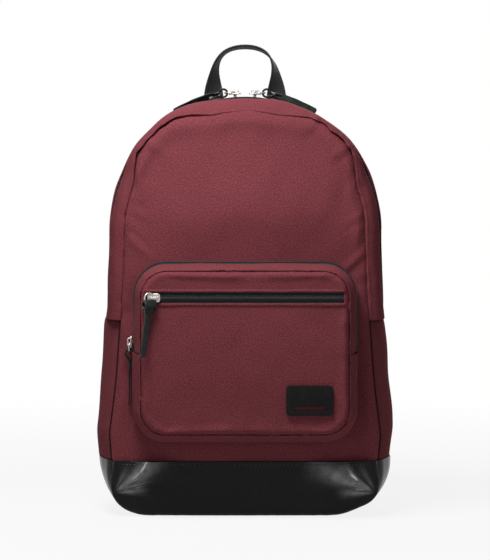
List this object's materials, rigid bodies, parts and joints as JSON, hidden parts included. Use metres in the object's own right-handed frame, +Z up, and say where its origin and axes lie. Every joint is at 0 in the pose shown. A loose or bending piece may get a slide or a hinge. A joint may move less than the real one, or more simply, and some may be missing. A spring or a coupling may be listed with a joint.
{
  "type": "travel backpack",
  "caption": "Soft city and travel backpack with an arched two-way zip, a zipped front pocket with a slash zip, padded shoulder straps, a haul handle and a coated base",
  "frame": {"origin": "middle of the flat underside of the base, on the surface that the bag stands on", "axes": "+Z up, the front with the pocket faces -Y, the shoulder straps are on +Y, +X is to the right seen from the front"},
  "size_m": [0.31, 0.243, 0.489],
  "materials": {
    "burgundy_weave": "heathered woven polyester",
    "burgundy_lining": "plain lining",
    "coated_base": "glossy coated imitation leather",
    "black_tape": "woven webbing and zip tape",
    "black_leather": "satin imitation leather",
    "black_mesh": "padded spacer mesh",
    "nickel": "warm polished nickel",
    "black_plastic": "moulded"
  },
  "bodies": {
    "bag": {"base_front_panel": "coated_base", "front_panel_lower": "burgundy_weave", "base_gusset": "coated_base", "side_panel_right": "burgundy_weave", "side_panel_left": "burgundy_weave", "gusset_front_foot_right": "burgundy_weave", "gusset_front_foot_left": "burgundy_weave", "main_zip_foot_right": "black_tape", "main_zip_foot_left": "black_tape", "gusset_rear": "burgundy_weave", "main_zip_rear": "black_tape", "back_panel": "black_mesh", "back_seam_binding": "black_tape", "laptop_sleeve": "burgundy_lining", "base_stiffener": "black_plastic", "laptop_strap": "black_tape", "pocket_zip_rear": "black_tape", "pocket_gusset_lower": "burgundy_weave", "pocket_panel_lower": "burgundy_weave", "lash_patch": "black_leather", "handle_anchor_right": "black_tape", "handle_anchor_left": "black_tape", "strap_root_right": "black_tape", "strap_root_left": "black_tape", "strap_wing_right": "burgundy_weave", "strap_wing_left": "burgundy_weave"},
    "front_flap": {"front_panel_upper": "burgundy_weave", "gusset_front_upper": "burgundy_weave", "main_zip_front": "black_tape"},
    "pocket_flap": {"pocket_panel_middle": "burgundy_weave", "pocket_panel_top": "burgundy_weave", "pocket_gusset_upper": "burgundy_weave", "pocket_zip_front": "black_tape", "slash_zip_upper": "black_tape", "slash_zip_lower": "black_tape", "slash_pocket_liner": "burgundy_lining"},
    "handle": {"haul_handle": "black_tape"},
    "main_left_slider": {"main_left_slider": "nickel"},
    "main_left_ring": {"main_left_ring": "nickel"},
    "main_left_pull": {"main_left_pull": "black_leather"},
    "main_right_slider": {"main_right_slider": "nickel"},
    "main_right_ring": {"main_right_ring": "nickel"},
    "main_right_pull": {"main_right_pull": "black_leather"},
    "pocket_slider": {"pocket_slider": "nickel"},
    "pocket_ring": {"pocket_ring": "nickel"},
    "pocket_pull": {"pocket_pull": "black_leather"},
    "slash_slider": {"slash_slider": "nickel"},
    "slash_ring": {"slash_ring": "nickel"},
    "slash_pull": {"slash_pull": "black_leather"},
    "strap_right": {"strap_pad_right": "black_mesh", "ladder_lock_right": "black_plastic", "buckle_loop_right": "black_tape", "lower_webbing_right": "black_tape"},
    "strap_left": {"strap_pad_left": "black_mesh", "ladder_lock_left": "black_plastic", "buckle_loop_left": "black_tape", "lower_webbing_left": "black_tape"}
  },
  "joints": [
    {"name": "front_flap_fold", "type": "hinge", "parent": "bag", "child": "front_flap", "pos_m": [0, -0.07285, 0.27485], "axis": [1, 0, 0], "range_deg": [0, 50]},
    {"name": "pocket_flap_fold", "type": "hinge", "parent": "bag", "child": "pocket_flap", "pos_m": [0, -0.11714, 0.17185], "axis": [1, 0, 0], "range_deg": [0, 35]},
    {"name": "handle_swing", "type": "hinge", "parent": "bag", "child": "handle", "pos_m": [0, 0.0575, 0.4324], "axis": [1, 0, 0], "range_deg": [-80, 60], "stiffness_Nm_per_rad": 0.03},
    {"name": "main_left_zip", "type": "hinge", "parent": "bag", "child": "main_left_slider", "pos_m": [0, 0, 0.2945], "axis": [0, -1, 0], "range_deg": [0, 58]},
    {"name": "main_left_ring_tilt", "type": "hinge", "parent": "main_left_slider", "child": "main_left_ring", "pos_m": [-0.01065, 0, 0.43951], "axis": [0, 1, 0], "range_deg": [0, 90]},
    {"name": "main_left_pull_swing", "type": "hinge", "parent": "main_left_ring", "child": "main_left_pull", "pos_m": [-0.02102, 0, 0.43875], "axis": [0, 1, 0], "range_deg": [0, 90]},
    {"name": "main_right_zip", "type": "hinge", "parent": "bag", "child": "main_right_slider", "pos_m": [0, 0, 0.2945], "axis": [0, 1, 0], "range_deg": [0, 58]},
    {"name": "main_right_ring_tilt", "type": "hinge", "parent": "main_right_slider", "child": "main_right_ring", "pos_m": [0.01065, 0, 0.43951], "axis": [0, -1, 0], "range_deg": [0, 90]},
    {"name": "main_right_pull_swing", "type": "hinge", "parent": "main_right_ring", "child": "main_right_pull", "pos_m": [0.02102, 0, 0.43875], "axis": [0, -1, 0], "range_deg": [0, 90]},
    {"name": "pocket_zip", "type": "slide", "parent": "bag", "child": "pocket_slider", "axis": [-0.0002, 0.0214, 0.9998], "range_m": [0, 0.036]},
    {"name": "pocket_ring_tilt", "type": "hinge", "parent": "pocket_slider", "child": "pocket_ring", "pos_m": [-0.11938, -0.07431, 0.182], "axis": [0, 0.9998, -0.0214], "range_deg": [0, 90]},
    {"name": "pocket_pull_swing", "type": "hinge", "parent": "pocket_ring", "child": "pocket_pull", "pos_m": [-0.11938, -0.07453, 0.1716], "axis": [0, 0.9998, -0.0214], "range_deg": [0, 90]},
    {"name": "slash_zip", "type": "slide", "parent": "pocket_flap", "child": "slash_slider", "axis": [1, 0, 0], "range_m": [0, 0.186]},
    {"name": "slash_ring_tilt", "type": "hinge", "parent": "slash_slider", "child": "slash_ring", "pos_m": [-0.093, -0.1178, 0.23], "axis": [0, 0, 1], "range_deg": [0, 60]},
    {"name": "slash_pull_swing", "type": "hinge", "parent": "slash_ring", "child": "slash_pull", "pos_m": [-0.09759, -0.12024, 0.2248], "axis": [-0.8829, -0.4695, 0], "range_deg": [0, 90]},
    {"name": "strap_right_swing", "type": "hinge", "parent": "bag", "child": "strap_right", "pos_m": [0.045, 0.087, 0.378], "axis": [0.1861, 0, -0.9825], "range_deg": [-14, 14], "stiffness_Nm_per_rad": 0.3},
    {"name": "strap_left_swing", "type": "hinge", "parent": "bag", "child": "strap_left", "pos_m": [-0.045, 0.087, 0.378], "axis": [-0.1861, 0, -0.9825], "range_deg": [-14, 14], "stiffness_Nm_per_rad": 0.3}
  ]
}
